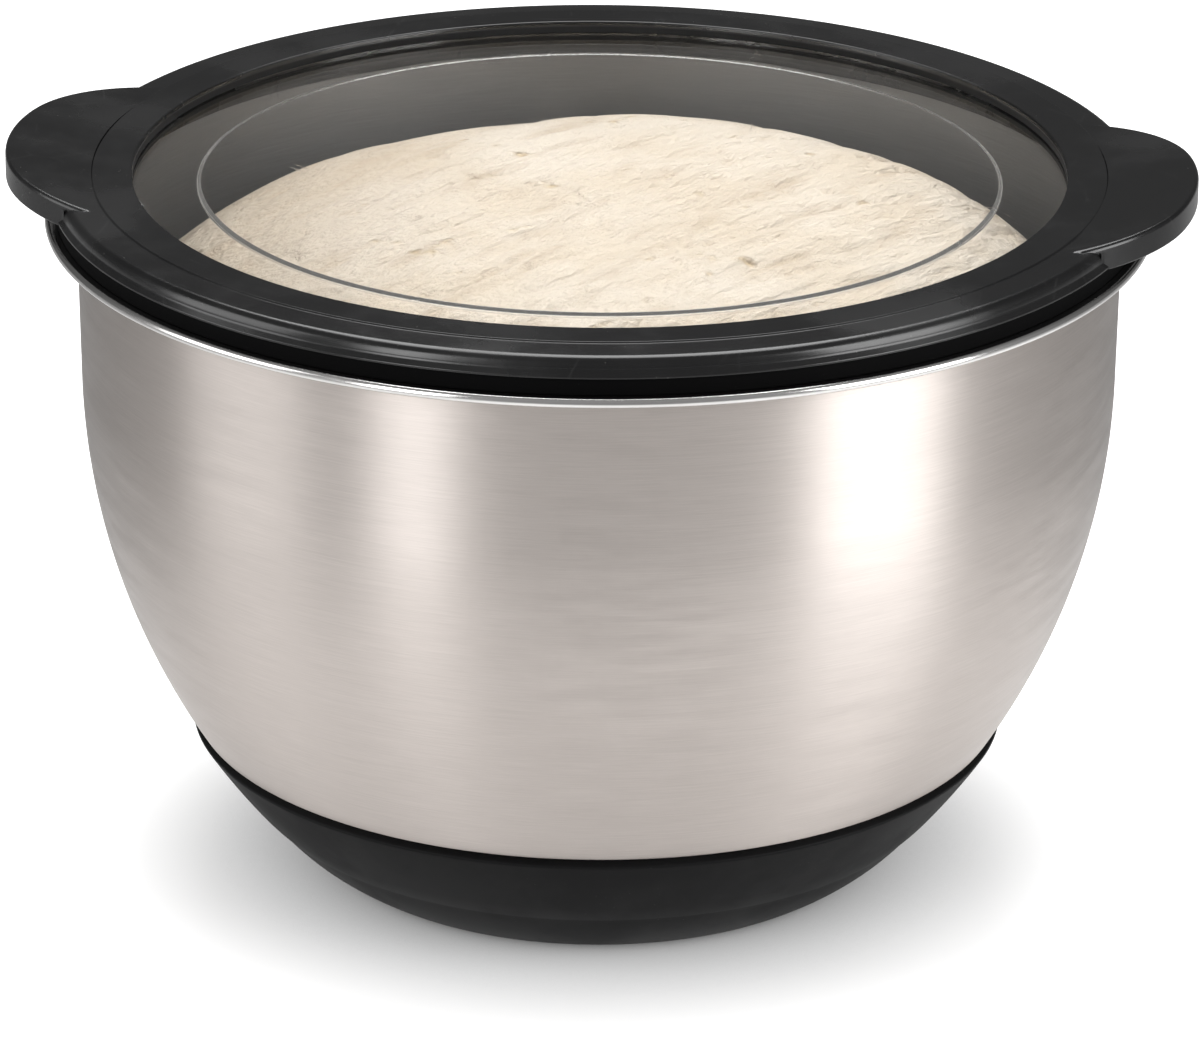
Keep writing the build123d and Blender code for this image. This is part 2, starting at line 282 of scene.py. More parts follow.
def start_group(name, inputs, outputs):
    """A node group with float inputs and outputs, and its own input and output nodes."""
    tree = bpy.data.node_groups.new(name, "ShaderNodeTree")
    for socket, value in inputs.items():
        made = tree.interface.new_socket(socket, in_out="INPUT", socket_type="NodeSocketFloat")
        made.default_value = value
    for socket in outputs:
        tree.interface.new_socket(socket, in_out="OUTPUT", socket_type="NodeSocketFloat")
    return tree, tree.nodes.new("NodeGroupInput"), tree.nodes.new("NodeGroupOutput")


def use_group(tree, group, **values):
    """Places a group in a material, with its inputs set by name."""
    node = add_node(tree, "ShaderNodeGroup", node_tree=group)
    for socket, value in values.items():
        node.inputs[socket.replace("_", " ")].default_value = value
    return node


def add_bump(tree, shader, height, strength, distance):
    """Lets a height tilt the shader's normal. The distance is in metres."""
    inputs = {"Height": height, "Strength": strength, "Distance": distance}
    bump = add_node(tree, "ShaderNodeBump", inputs)
    tree.links.new(bump.outputs["Normal"], shader.inputs["Normal"])
    return bump


# %% [markdown]
# ## Shared effects
#
# The bowl turned under an abrasive belt, so its brush lines run round it: long along the turn and very
# thin along the height. The group divides x and y by their distance from the axis, which leaves only the
# direction, and stretches the height by a large factor. Noise read there gives thin round lines on every
# part of the bowl, whatever its radius.
#
# The second group gives what handling leaves on any surface: specks of lint and flour, hairline
# scratches and faint smudges. The plastic, the silicone and the pane all use it, each in its own measure.

# %% Brush lines that run round the bowl
NEAREST_TURN = 0.001  # metres from the axis, within which the lines stop tightening
BAND_STRETCH = (0.5, 0.5, 0.06)  # bands are this much coarser than lines


def make_round_brushing():
    tree, given, result = start_group(
        "round_brushing",
        {"Lines per metre": 3000.0, "Sweep": 5.0},
        ["Lines", "Bands"],
    )
    point = object_place(tree)
    x, y, z = add_node(tree, "ShaderNodeSeparateXYZ", {0: point}).outputs
    radius = maths(tree, "MAXIMUM", axis_distance(tree, point), NEAREST_TURN)
    around = maths(tree, "DIVIDE", given.outputs["Sweep"], radius)
    place = add_node(
        tree,
        "ShaderNodeCombineXYZ",
        {
            0: maths(tree, "MULTIPLY", x, around),
            1: maths(tree, "MULTIPLY", y, around),
            2: maths(tree, "MULTIPLY", z, given.outputs["Lines per metre"]),
        },
    ).outputs[0]
    lines = noise_value(tree, place, 1.0, detail=4.0, roughness=0.75)
    wide = add_node(tree, "ShaderNodeVectorMath", {0: place, 1: BAND_STRETCH}, operation="MULTIPLY")
    bands = noise_value(tree, wide.outputs[0], 1.0, detail=3.0, roughness=0.6)
    tree.links.new(lines, result.inputs["Lines"])
    tree.links.new(bands, result.inputs["Bands"])
    return tree


round_brushing = make_round_brushing()
print("group", round_brushing.name, "ready")


# %% Specks, hairlines and smudges from handling
SCRATCH_SWING = 0.03  # metres, how far noise bends the scratches
HAIRLINE_WIDTH = 0.012  # as a share of a cell of the scratches' web


def make_handling_marks():
    tree, given, result = start_group(
        "handling_marks",
        {"Speck scale": 420.0, "Speck size": 0.05, "Scratch scale": 55.0, "Smudge scale": 26.0},
        ["Specks", "Scratches", "Smudges"],
    )
    place = object_place(tree)
    cells = add_node(
        tree, "ShaderNodeTexVoronoi", {"Vector": place, "Scale": given.outputs["Speck scale"]}
    )
    close = maths(tree, "LESS_THAN", cells.outputs["Distance"], given.outputs["Speck size"])
    patches = ramp(tree, noise_value(tree, place, 38.0, detail=2.0), 0.45, 0.62)
    specks = maths(tree, "MULTIPLY", close, patches)

    swing = maths(tree, "MULTIPLY", noise_value(tree, place, 14.0, detail=2.0), SCRATCH_SWING)
    sideways = add_node(tree, "ShaderNodeCombineXYZ", {0: swing, 1: swing}).outputs[0]
    shifted = add_node(tree, "ShaderNodeVectorMath", {0: place, 1: sideways}, operation="ADD")
    web = add_node(
        tree,
        "ShaderNodeTexVoronoi",
        {"Vector": shifted.outputs[0], "Scale": given.outputs["Scratch scale"]},
        feature="DISTANCE_TO_EDGE",
    )
    hairline = ramp(tree, web.outputs["Distance"], 0.0, HAIRLINE_WIDTH, 1.0, 0.0)
    broken = ramp(tree, noise_value(tree, place, 90.0, detail=2.0), 0.52, 0.64)
    tree.links.new(specks, result.inputs["Specks"])
    tree.links.new(maths(tree, "MULTIPLY", hairline, broken), result.inputs["Scratches"])
    smudges = noise_value(tree, place, given.outputs["Smudge scale"], detail=5.0, roughness=0.6)
    tree.links.new(smudges, result.inputs["Smudges"])
    return tree


handling_marks = make_handling_marks()
print("group", handling_marks.name, "ready")

# %% [markdown]
# ## The bowl
#
# The bowl is one sheet of steel, 0.8 mm thick, drawn deep. Its wall leans outwards by less than a degree
# and runs into one long curve, then into a tighter one at the heel. Just above the foot the sheet steps
# in by 0.9 mm and makes the foot's seat, with a thin dark gap over the foot's lip. At the top it turns
# out into a flange and rolls over. The section follows the outside from the axis to the rim, and the
# inside back.

# %% Sizes of the bowl
SHEET = 0.8
WALL_DRAFT = math.radians(0.9)
WALL_FOOT = 121.5  # height at which the straight wall meets the long curve
BELLY_RADIUS = 165.0
HEEL_RADIUS = 45.0
SEAT_HEIGHT = 36.0  # where the sheet steps in for the foot
SEAT_DEPTH = 0.9
SEAT_ROUND = 0.5
ROLL_RADIUS = 1.2
FLANGE_WIDTH = 7.4
FLANGE_ROUND = 1.6  # under the flange
MOUTH_ROUND = 2.4  # over the flange

rim_radius, rim_top = bowl_high.y, bowl_high.z
mouth_radius = rim_radius - FLANGE_WIDTH
smooth_floor = bowl_low.z - SEAT_DEPTH  # where the floor would be without the step


def wall_radius(height):
    """Outside radius of the upright wall."""
    return mouth_radius - (rim_top - height) * math.tan(WALL_DRAFT)


belly_centre = (
    wall_radius(WALL_FOOT) - BELLY_RADIUS * math.cos(WALL_DRAFT),
    WALL_FOOT + BELLY_RADIUS * math.sin(WALL_DRAFT),
)
heel_height = smooth_floor + HEEL_RADIUS
heel_drop = belly_centre[1] - heel_height
heel_centre = (
    belly_centre[0] + math.sqrt((BELLY_RADIUS - HEEL_RADIUS) ** 2 - heel_drop**2),
    heel_height,
)
heel_angle = math.atan2(heel_drop, heel_centre[0] - belly_centre[0])


def belly_angle(grow, height):
    """How far below the level a height lies on the long curve, grown outwards by an offset."""
    return math.asin((belly_centre[1] - height) / (BELLY_RADIUS + grow))


def belly_point(grow, angle):
    """A point on the long curve, grown outwards, at an angle below the level."""
    reach = BELLY_RADIUS + grow
    return belly_centre[0] + reach * math.cos(angle), belly_centre[1] - reach * math.sin(angle)


print("belly radius", BELLY_RADIUS, "mm, heel begins", round(math.degrees(heel_angle), 1), "degrees down")

# %% Draw and spin the bowl
HEEL_STEPS = 14
LOW_STEPS = 8
BELLY_STEPS = 36
ROLL_STEPS = 28
PAST_SEAT = 0.004  # radians of the long curve that leave room for the round of the step


def follow_bowl(bm, pen, grow, step_height, upwards):
    """Draws one side of the sheet: heel, low curve, step and long curve, in either direction."""
    low_angle = belly_angle(grow - SEAT_DEPTH, step_height)
    high_angle = belly_angle(grow, step_height)
    heel_turn = heel_angle - math.pi / 2
    low_turn = low_angle - heel_angle
    long_turn = WALL_DRAFT - high_angle
    if upwards:
        pen = arc_about(bm, pen, heel_centre, heel_turn, HEEL_STEPS)
        pen = arc_about(bm, pen, belly_centre, low_turn, LOW_STEPS)
        ledge = belly_point(grow, high_angle)
        over = belly_point(grow, high_angle - PAST_SEAT)
        pen = path_to(bm, pen, [(*ledge, SEAT_ROUND), (*over, 0)])
        return arc_about(bm, pen, belly_centre, long_turn + PAST_SEAT, BELLY_STEPS)
    pen = arc_about(bm, pen, belly_centre, -long_turn, BELLY_STEPS)
    pen = line_to(bm, pen, *belly_point(grow - SEAT_DEPTH, low_angle))
    pen = arc_about(bm, pen, belly_centre, -low_turn, LOW_STEPS)
    return arc_about(bm, pen, heel_centre, -heel_turn, HEEL_STEPS)


def draw_bowl():
    """The whole section of the sheet, from the axis round the rim and back to the axis."""
    underside = rim_top - SHEET
    roll_centre = (rim_radius - ROLL_RADIUS, rim_top - ROLL_RADIUS)
    below_centre = underside - roll_centre[1]
    roll_start = roll_centre[0] - math.sqrt(ROLL_RADIUS**2 - below_centre**2)
    bm, pen = start_section(0, bowl_low.z)
    pen = line_to(bm, pen, heel_centre[0], bowl_low.z)
    pen = follow_bowl(bm, pen, 0, SEAT_HEIGHT, upwards=True)
    under_flange = [(wall_radius(underside), underside, FLANGE_ROUND), (roll_start, underside, 0)]
    pen = path_to(bm, pen, under_flange)
    start = math.atan2(below_centre, roll_start - roll_centre[0])
    pen = arc_about(bm, pen, roll_centre, start - math.pi / 2 - math.tau, ROLL_STEPS)
    wall_top = (wall_radius(rim_top) - SHEET / math.cos(WALL_DRAFT), rim_top, MOUTH_ROUND)
    wall_foot = (*belly_point(-SHEET, WALL_DRAFT), 0)
    pen = path_to(bm, pen, [wall_top, wall_foot], steps=8)
    pen = follow_bowl(bm, pen, -SHEET, SEAT_HEIGHT + SHEET, upwards=False)
    line_to(bm, pen, 0, pen.co.z)
    return lathe(bm)


# %% [markdown]
# ## The steel's finishes
#
# The body is brushed: its lines blur reflections up and down and leave them narrow from side to side, so
# a lamp becomes a tall soft band. Cycles makes that with an anisotropic highlight, whose direction comes
# from a tangent that runs round the Z axis. The inside is rougher, and its colour is darker and cooler,
# as painted shade for the dim inside under the lid. The rolled rim is polished, so it shows small bright
# and dark reflections. Each finish gets its own slot on the one mesh, because the sheet is one piece.

# %% Brushed and polished steel
BRUSH_LINES = 4600.0  # per metre of height
BRUSH_SWEEP = 8.0
BRUSH_DEPTH = 0.00007  # metres


def make_brushed_steel(name, dark, light, roughness, anisotropy):
    """Steel with lines round the bowl. The roughness is a pair, between which the lines vary it."""
    material, tree, shader = start_material(
        name, Metallic=1.0, Anisotropic=anisotropy, Anisotropic_Rotation=0.25
    )
    tangent = add_node(tree, "ShaderNodeTangent", direction_type="RADIAL", axis="Z")
    tree.links.new(tangent.outputs[0], shader.inputs["Tangent"])
    brushing = use_group(tree, round_brushing, Lines_per_metre=BRUSH_LINES, Sweep=BRUSH_SWEEP)
    marks = use_group(tree, handling_marks, Smudge_scale=16.0)
    lines, bands = brushing.outputs["Lines"], brushing.outputs["Bands"]
    colour = mix_colours(tree, ramp(tree, lines, 0.2, 0.8), dark, light)
    cloudy = ramp(tree, marks.outputs["Smudges"], 0.3, 0.7, 0.0, 0.25)
    colour = mix_colours(tree, cloudy, colour, dark)
    tree.links.new(colour, shader.inputs["Base Color"])
    tree.links.new(ramp(tree, bands, 0.2, 0.8, *roughness), shader.inputs["Roughness"])
    add_bump(tree, shader, lines, 0.18, BRUSH_DEPTH)
    return material


def make_polished_steel():
    material, tree, shader = start_material("polished_steel", Metallic=1.0)
    marks = use_group(tree, handling_marks, Smudge_scale=30.0)
    cloudy = ramp(tree, marks.outputs["Smudges"], 0.3, 0.7)
    colour = mix_colours(tree, cloudy, (0.74, 0.73, 0.72, 1), (0.66, 0.65, 0.64, 1))
    tree.links.new(colour, shader.inputs["Base Color"])
    tree.links.new(ramp(tree, cloudy, 0.0, 1.0, 0.12, 0.18), shader.inputs["Roughness"])
    return material


# %% Make the bowl
POLISH_DEPTH = 3.2  # the polished band reaches this far below the rim's top
OUTSIDE_DARK, OUTSIDE_LIGHT = (0.495, 0.452, 0.424, 1), (0.59, 0.54, 0.508, 1)
# painted shade: the inside steel is coloured darker than the outside, as the dim inside under the lid
SHADED_INSIDE_DARK, SHADED_INSIDE_LIGHT = (0.29, 0.29, 0.295, 1), (0.37, 0.37, 0.375, 1)


def split_finishes(bm):
    """The rim's faces take the polished slot, and inward faces the rougher one with painted shade."""
    for face in bm.faces:
        centre = face.calc_center_median()
        outside_mouth = math.hypot(centre.x, centre.y) > mouth_radius - MOUTH_ROUND
        on_rim = outside_mouth and centre.z > rim_top - POLISH_DEPTH
        looks_in = face.normal.dot(Vector((centre.x, centre.y, -centre.z))) < 0
        face.material_index = 1 if on_rim else 2 if looks_in else 0


bowl_mesh = draw_bowl()
split_finishes(bowl_mesh)
body_steel = make_brushed_steel("brushed_steel", OUTSIDE_DARK, OUTSIDE_LIGHT, (0.34, 0.42), 0.85)
shaded_inner_steel = make_brushed_steel("shaded_inner_steel", SHADED_INSIDE_DARK, SHADED_INSIDE_LIGHT, (0.46, 0.54), 0.6)
bowl = make_object(bowl_mesh, "steel_bowl", [body_steel, make_polished_steel(), shaded_inner_steel])
finish_piece(bowl, "bowl", "bowl_shell")

# %% [markdown]
# ## The foot
#
# The foot is a cup of soft black silicone, moulded to the bowl's curve and bonded to it. It stops the
# bowl from sliding and from ringing on the table. Its lip is cut square to the curve and stands a little
# proud of the steel, and it stands on a flat ring with a shallow hollow inside.

# %% Draw and spin the foot
BOOT_SKIN = 1.45  # the foot's outside, counted outwards from the bowl's smooth curve
BOOT_INSIDE = -0.85
LIP_GAP = 1.3  # along the curve, between the steel's step and the foot's lip
LIP_ROUND = 0.6
FLANK_HEIGHT = 13.5
FLANK_BULGE = 1.0
FOOT_SPREAD = 15.2
FOOT_RECESS = 0.8
FOOT_RING = 14.0
FOOT_ROUND = 1.0
RECESS_ROUND = 0.3
EDGE_SHARE = 8  # one part in eight of the flank leaves room for the round at its foot
FLANK_STEPS = 12
CUP_STEPS = 16


def heel_point(grow, angle):
    """A point on the heel's curve, grown outwards, at an angle below the level."""
    reach = HEEL_RADIUS + grow
    return heel_centre[0] + reach * math.cos(angle), heel_centre[1] - reach * math.sin(angle)


def flank_arc(start, end, bulge):
    """Centre and turn of the shallow arc that leads from one point to another."""
    start, end = Vector(start), Vector(end)
    chord = (end - start).length
    radius = chord**2 / (8 * bulge) + bulge / 2
    along = (end - start) / chord
    inwards = Vector((-along.y, along.x))
    centre = (start + end) / 2 + inwards * (radius - bulge)
    return centre, -2 * math.asin(chord / 2 / radius)


def draw_foot():
    """Section of the cup: hollow, standing ring, flank, heel, curve, lip and the bonded inside."""
    foot_radius = heel_centre[0] + FOOT_SPREAD
    ring_edge = foot_radius - FOOT_RING
    flank_angle = math.asin((heel_centre[1] - FLANK_HEIGHT) / (HEEL_RADIUS + BOOT_SKIN))
    flank_end = heel_point(BOOT_SKIN, flank_angle)
    lip_angle = belly_angle(0, SEAT_HEIGHT) + LIP_GAP / BELLY_RADIUS
    room_for_round = 2 * LIP_ROUND / BELLY_RADIUS
    centre, turn = flank_arc((foot_radius, 0), flank_end, FLANK_BULGE)
    first_step = turn / EDGE_SHARE
    past_edge = Matrix.Rotation(-first_step, 2) @ (Vector((foot_radius, 0)) - centre) + centre
    bm, pen = start_section(0, FOOT_RECESS)
    corners = [
        (ring_edge, FOOT_RECESS, RECESS_ROUND),
        (ring_edge, 0, RECESS_ROUND),
        (foot_radius, 0, FOOT_ROUND),
        (*past_edge, 0),
    ]
    pen = path_to(bm, pen, corners)
    pen = arc_about(bm, pen, centre, turn - first_step, FLANK_STEPS)
    pen = arc_about(bm, pen, heel_centre, heel_angle - flank_angle, HEEL_STEPS)
    pen = arc_about(bm, pen, belly_centre, lip_angle + room_for_round - heel_angle, CUP_STEPS)
    corners = [
        (*belly_point(BOOT_SKIN, lip_angle), LIP_ROUND),
        (*belly_point(BOOT_INSIDE, lip_angle), 0),
    ]
    pen = path_to(bm, pen, corners)
    pen = arc_about(bm, pen, belly_centre, heel_angle - lip_angle, CUP_STEPS)
    pen = arc_about(bm, pen, heel_centre, math.pi / 2 - heel_angle, HEEL_STEPS)
    line_to(bm, pen, 0, pen.co.z)
    return lathe(bm)


# %% Matt black silicone
DUST = (0.3, 0.3, 0.29, 1)
SMUDGED = 1.5  # how much paler a smudge is


def make_silicone(name, colour, dust, roughness, shine):
    """Soft black rubber: dull, a little uneven, and quick to hold lint."""
    material, tree, shader = start_material(name, Specular_IOR_Level=shine)
    marks = use_group(tree, handling_marks, Speck_scale=520.0, Speck_size=0.05, Scratch_scale=40.0)
    smudge = ramp(tree, marks.outputs["Smudges"], 0.35, 0.7)
    paled = tuple(channel * SMUDGED for channel in colour[:3]) + (1,)
    painted = mix_colours(tree, smudge, colour, paled)
    dusty = maths(tree, "MULTIPLY", marks.outputs["Specks"], dust)
    painted = mix_colours(tree, dusty, painted, DUST)
    tree.links.new(painted, shader.inputs["Base Color"])
    tree.links.new(ramp(tree, smudge, 0.0, 1.0, roughness, roughness + 0.1), shader.inputs["Roughness"])
    grain = noise_value(tree, object_place(tree), 2600.0, detail=2.0)
    add_bump(tree, shader, grain, 0.12, 0.00005)
    return material


foot_silicone = make_silicone("foot_silicone", (0.0026, 0.0026, 0.0028, 1), 0.2, 0.55, 0.1)
foot = make_object(draw_foot(), "silicone_foot", [foot_silicone])
finish_piece(foot, "bowl", "base_boot")

# %% [markdown]
# ## The lid's ring
#
# The ring is one moulding, and all its walls show in one section: a flat top, a tiny step, a border that
# falls away, a rounded shoulder, an upright wall and a flared skirt. Under it hang the wall that holds
# the pane and the hooked rib that carries the seal. The section goes once round all of this and closes.

# %% Draw and spin the ring
PLATE = 2.4
TOP_FLAT = 9.3
TOP_STEP = 0.35
STEP_RUN = 0.3
BORDER_FALL = 0.55
RING_HEIGHT = 5.4
SHOULDER_INSET = 1.0
SHOULDER_ROUND = 2.4
FLARE_HEIGHT = 1.8
FLARE_ROUND = 1.0
SKIRT_EDGE = 0.5
SKIRT_WALL = 2.1
SKIRT_ROUND = 0.18
WINDOW_WALL = 4.1
WINDOW_DROP = 1.0  # how far the window wall hangs below the skirt
WINDOW_ROUND = 0.5
GROOVE_DEPTH = 2.0
GROOVE_FIT = 0.1
RIB = 1.8
RIB_FIT = 0.1
HOOK_WIDTH = 0.6
HOOK_HEIGHT = 0.7
HOOK_ROUND = 0.1
SLEEVE = 1.8
FIN = 0.6
FIN_CLEAR = 0.35  # between the fin and the steel
STEP_ROUND = 0.25
HIDDEN_ROUND = 0.3
SMALL_ROUND = 0.2
TINY_ROUND = 0.15
PLATEAU_RISE = 0.6  # of the pane's middle over its border
SEAM = 0.01  # a section's last point lies this far from its first

skirt_radius = ring_high.y
skirt_bottom = seal_high.z
ring_top = skirt_bottom + RING_HEIGHT  # the tabs rise above it
plate_underside = ring_top - PLATE
window_radius = pane_high.x + GROOVE_FIT - GROOVE_DEPTH
shoulder_radius = skirt_radius - SHOULDER_INSET
rib_bottom = ring_low.z
mouth_inside = wall_radius(rib_bottom) - SHEET / math.cos(WALL_DRAFT)
fin_radius = mouth_inside - FIN_CLEAR
sleeve_radius = fin_radius - FIN
rib_radius = sleeve_radius - SLEEVE - RIB_FIT
pane_bottom = pane_low.z
pane_top = pane_high.z - PLATEAU_RISE


def draw_ring():
    """The closed section of the moulding, starting in the middle of its flat top."""
    flat_end = window_radius + TOP_FLAT
    hollow_start = window_radius + WINDOW_WALL
    hollow_end = shoulder_radius - SKIRT_WALL
    groove_end = window_radius + GROOVE_DEPTH
    groove_low = pane_bottom - GROOVE_FIT
    groove_high = pane_top + GROOVE_FIT
    bm, first = start_section(window_radius + TOP_FLAT / 2, ring_top)
    window_bottom = skirt_bottom - WINDOW_DROP
    corners = [
        (flat_end, ring_top, STEP_ROUND),
        (flat_end + STEP_RUN, ring_top - TOP_STEP, STEP_ROUND),
        (shoulder_radius, ring_top - TOP_STEP - BORDER_FALL, SHOULDER_ROUND),
        (shoulder_radius, skirt_bottom + FLARE_HEIGHT, FLARE_ROUND),
        (skirt_radius, skirt_bottom + SKIRT_EDGE, HIDDEN_ROUND),
        (skirt_radius, skirt_bottom, SKIRT_ROUND),
        (hollow_end, skirt_bottom, SMALL_ROUND),
        (hollow_end, plate_underside, HIDDEN_ROUND),
        (rib_radius, plate_underside, HIDDEN_ROUND),
        (rib_radius, rib_bottom + HOOK_HEIGHT, HOOK_ROUND),
        (rib_radius + HOOK_WIDTH, rib_bottom + HOOK_HEIGHT, TINY_ROUND),
        (rib_radius + HOOK_WIDTH, rib_bottom, SMALL_ROUND),
        (rib_radius - RIB, rib_bottom, SMALL_ROUND),
        (rib_radius - RIB, plate_underside, HIDDEN_ROUND),
        (hollow_start, plate_underside, HIDDEN_ROUND),
        (hollow_start, window_bottom, HIDDEN_ROUND),
        (window_radius, window_bottom, HIDDEN_ROUND),
        (window_radius, groove_low, TINY_ROUND),
        (groove_end, groove_low, 0),
        (groove_end, groove_high, 0),
        (window_radius, groove_high, TINY_ROUND),
        (window_radius, ring_top, WINDOW_ROUND),
        (window_radius + TOP_FLAT / 2 - SEAM, ring_top, 0),
    ]
    pen = path_to(bm, first, corners, steps=5)
    bm.edges.new((pen, first))
    return lathe(bm)


# %% [markdown]
# ## The two finger tabs
#
# Each tab is a plate that rises outwards by seven degrees, with an outline of three arcs and a soft upper
# edge, hollow underneath as moulded tabs are. It starts as a flat blank whose points are lifted on to the
# rising plane and whose rim is bevelled. The space of the ring and of the hollow is then taken away with
# Boolean modifiers, because a tab meets the ring along a curve that no spin can give. Four small fillers
# lead the ring's shoulder into the sides of the tabs. All of it is united with the ring, so the moulding
# stays one closed solid.

# %% Draw the blanks
TAB_END_RADIUS = 72.0  # shallow round of the end
TAB_CORNER_RADIUS = 42.0  # rounds that lead from the end into the sides
TAB_HALF_WIDTH = 49.6
TAB_RISE = math.radians(6.8)
TAB_LIFT = 0.3  # above the flat top, where the tab leaves it
TAB_THICKNESS = 6.2
TAB_WALL = 2.2
TAB_ROUND = 1.1
TAB_LOW_ROUND = 0.35
ROOT_ROUND = 3.0
ROOT_SINK = 1.3
CLEAR = 12.0  # how far a cutting shape reaches past what it cuts
END_STEPS = 48
CORNER_STEPS = 32
ROOT_STEPS = 12
BEVEL_STEPS = 6

tab_tip = ring_high.x
tab_start = window_radius + TOP_FLAT + STEP_RUN / 2
end_centre = Vector((tab_tip - TAB_END_RADIUS, 0, 0))
corner_y = TAB_HALF_WIDTH - TAB_CORNER_RADIUS
corner_run = math.sqrt((TAB_END_RADIUS - TAB_CORNER_RADIUS) ** 2 - corner_y**2)
corner_centre = Vector((end_centre.x + corner_run, corner_y, 0))
join_angle = math.atan2(corner_y, corner_run)


def sweep_flat(bm, pen, centre, turn, steps):
    """Sweeps a point about the upright through a centre, and returns its end."""
    swept = bmesh.ops.spin(bm, geom=[pen], cent=centre, axis=(0, 0, 1), angle=turn, steps=steps)
    return next(item for item in swept["geom_last"] if isinstance(item, bmesh.types.BMVert))


def raise_outline(bm, low, high):
    """Makes a block of a flat outline and returns its two rims. Its heights are functions of x."""
    outline = bm.faces.new(bm.verts[:])
    lifted = bmesh.ops.extrude_face_region(bm, geom=[outline])["geom"]
    raised = {item for item in lifted if isinstance(item, bmesh.types.BMVert)}
    for vert in bm.verts:
        vert.co.z = high(vert.co.x) if vert in raised else low(vert.co.x)
    bmesh.ops.recalc_face_normals(bm, faces=bm.faces)
    top_rim = [edge for edge in bm.edges if all(vert in raised for vert in edge.verts)]
    low_rim = [edge for edge in bm.edges if not any(vert in raised for vert in edge.verts)]
    return top_rim, low_rim


def draw_plate(inset, sink, thickness):
    """A tab's plate, moved inwards and down by an amount, and its two rims."""
    bm = bmesh.new()
    pen = bm.verts.new((corner_centre.x, -TAB_HALF_WIDTH + inset, 0))
    corner_turn = math.pi / 2 - join_angle
    near_corner = Vector((corner_centre.x, -corner_y, 0))
    pen = sweep_flat(bm, pen, near_corner, corner_turn, CORNER_STEPS)
    pen = sweep_flat(bm, pen, end_centre, 2 * join_angle, END_STEPS)
    sweep_flat(bm, pen, corner_centre, corner_turn, CORNER_STEPS)
    bmesh.ops.remove_doubles(bm, verts=bm.verts, dist=WELD)

    def top(x):
        return ring_top + TAB_LIFT - sink + math.tan(TAB_RISE) * (x - tab_start)

    rims = raise_outline(bm, lambda x: top(x) - thickness / math.cos(TAB_RISE), top)
    return bm, rims


# %% Cut the tabs out
def draw_core():
    """What the ring and its hollow take away from the tabs: a stepped round block."""
    hollow_end = shoulder_radius - SKIRT_WALL
    bm, pen = start_section(0, skirt_bottom - CLEAR)
    corners = [
        (skirt_radius, skirt_bottom - CLEAR, 0),
        (skirt_radius, skirt_bottom, 0),
        (hollow_end, skirt_bottom, 0),
        (hollow_end, plate_underside, 0),
        (tab_start, plate_underside, 0),
        (tab_start, ring_top + CLEAR, 0),
        (0, ring_top + CLEAR, 0),
    ]
    path_to(bm, pen, corners)
    return lathe(bm)


def draw_plug():
    """The round space of the shoulder, which a tab's pocket stops at."""
    bm, pen = start_section(0, skirt_bottom - CLEAR)
    corners = [
        (shoulder_radius, skirt_bottom - CLEAR, 0),
        (shoulder_radius, ring_top + CLEAR, 0),
        (0, ring_top + CLEAR, 0),
    ]
    path_to(bm, pen, corners)
    return lathe(bm)


def draw_root(side_x, side_y):
    """A filler between the ring's shoulder and a tab's side, with a hollow round outside."""
    ring_reach = shoulder_radius + ROOT_ROUND
    corner_reach = TAB_CORNER_RADIUS + ROOT_ROUND
    apart = corner_centre.length
    along = (ring_reach**2 - corner_reach**2 + apart**2) / (2 * apart)
    across = math.sqrt(ring_reach**2 - along**2)
    way = corner_centre / apart
    centre = way * along + Vector((-way.y, way.x, 0)) * across
    on_ring = centre * (shoulder_radius / centre.length)
    on_tab = corner_centre + (centre - corner_centre) * (TAB_CORNER_RADIUS / corner_reach)
    middle = (on_ring + on_tab) / 2
    bm = bmesh.new()
    pen = bm.verts.new(on_ring)
    arriving, leaving = on_ring - centre, on_tab - centre
    turn = math.copysign(arriving.angle(leaving), arriving.cross(leaving).z)
    sweep_flat(bm, pen, centre, turn, ROOT_STEPS)
    bm.verts.new(middle + (middle - centre) / 2)
    raise_outline(bm, lambda x: skirt_bottom, lambda x: ring_top - ROOT_SINK)
    bmesh.ops.scale(bm, vec=(side_x, side_y, 1), verts=bm.verts)
    bmesh.ops.recalc_face_normals(bm, faces=bm.faces)
    return bm


def combine(piece, operation, tools):
    """Applies one Boolean after another to a piece, and removes the tools."""
    for tool in tools:
        step = piece.modifiers.new("combine", "BOOLEAN")
        step.operation, step.solver, step.object = operation, "EXACT", tool
    graph = bpy.context.evaluated_depsgraph_get()
    result = bpy.data.meshes.new_from_object(piece.evaluated_get(graph))
    piece.modifiers.clear()
    piece.data = result
    for tool in tools:
        bpy.data.objects.remove(tool)
    return piece


def bevel_rim(bm, rim, size):
    """Rounds the given edges."""
    bmesh.ops.bevel(
        bm,
        geom=rim,
        offset=size,
        segments=BEVEL_STEPS,
        profile=0.5,
        affect="EDGES",
        material=-1,
    )


def cut_tab(side):
    """One hollow tab, on the side of +X or of -X."""
    plate, (top_rim, low_rim) = draw_plate(0, 0, TAB_THICKNESS)
    bevel_rim(plate, top_rim, TAB_ROUND)
    bevel_rim(plate, low_rim, TAB_LOW_ROUND)
    pocket, _ = draw_plate(TAB_WALL, TAB_WALL / math.cos(TAB_RISE), 2 * TAB_THICKNESS)
    for bm in (plate, pocket):
        bmesh.ops.scale(bm, vec=(side, 1, 1), verts=bm.verts)
        bmesh.ops.recalc_face_normals(bm, faces=bm.faces)
    tab = make_object(plate, "tab", [])
    plug = make_object(draw_plug(), "plug", [])
    pocket = combine(make_object(pocket, "pocket", []), "DIFFERENCE", [plug])
    core = make_object(draw_core(), "core", [])
    return combine(tab, "DIFFERENCE", [core, pocket])


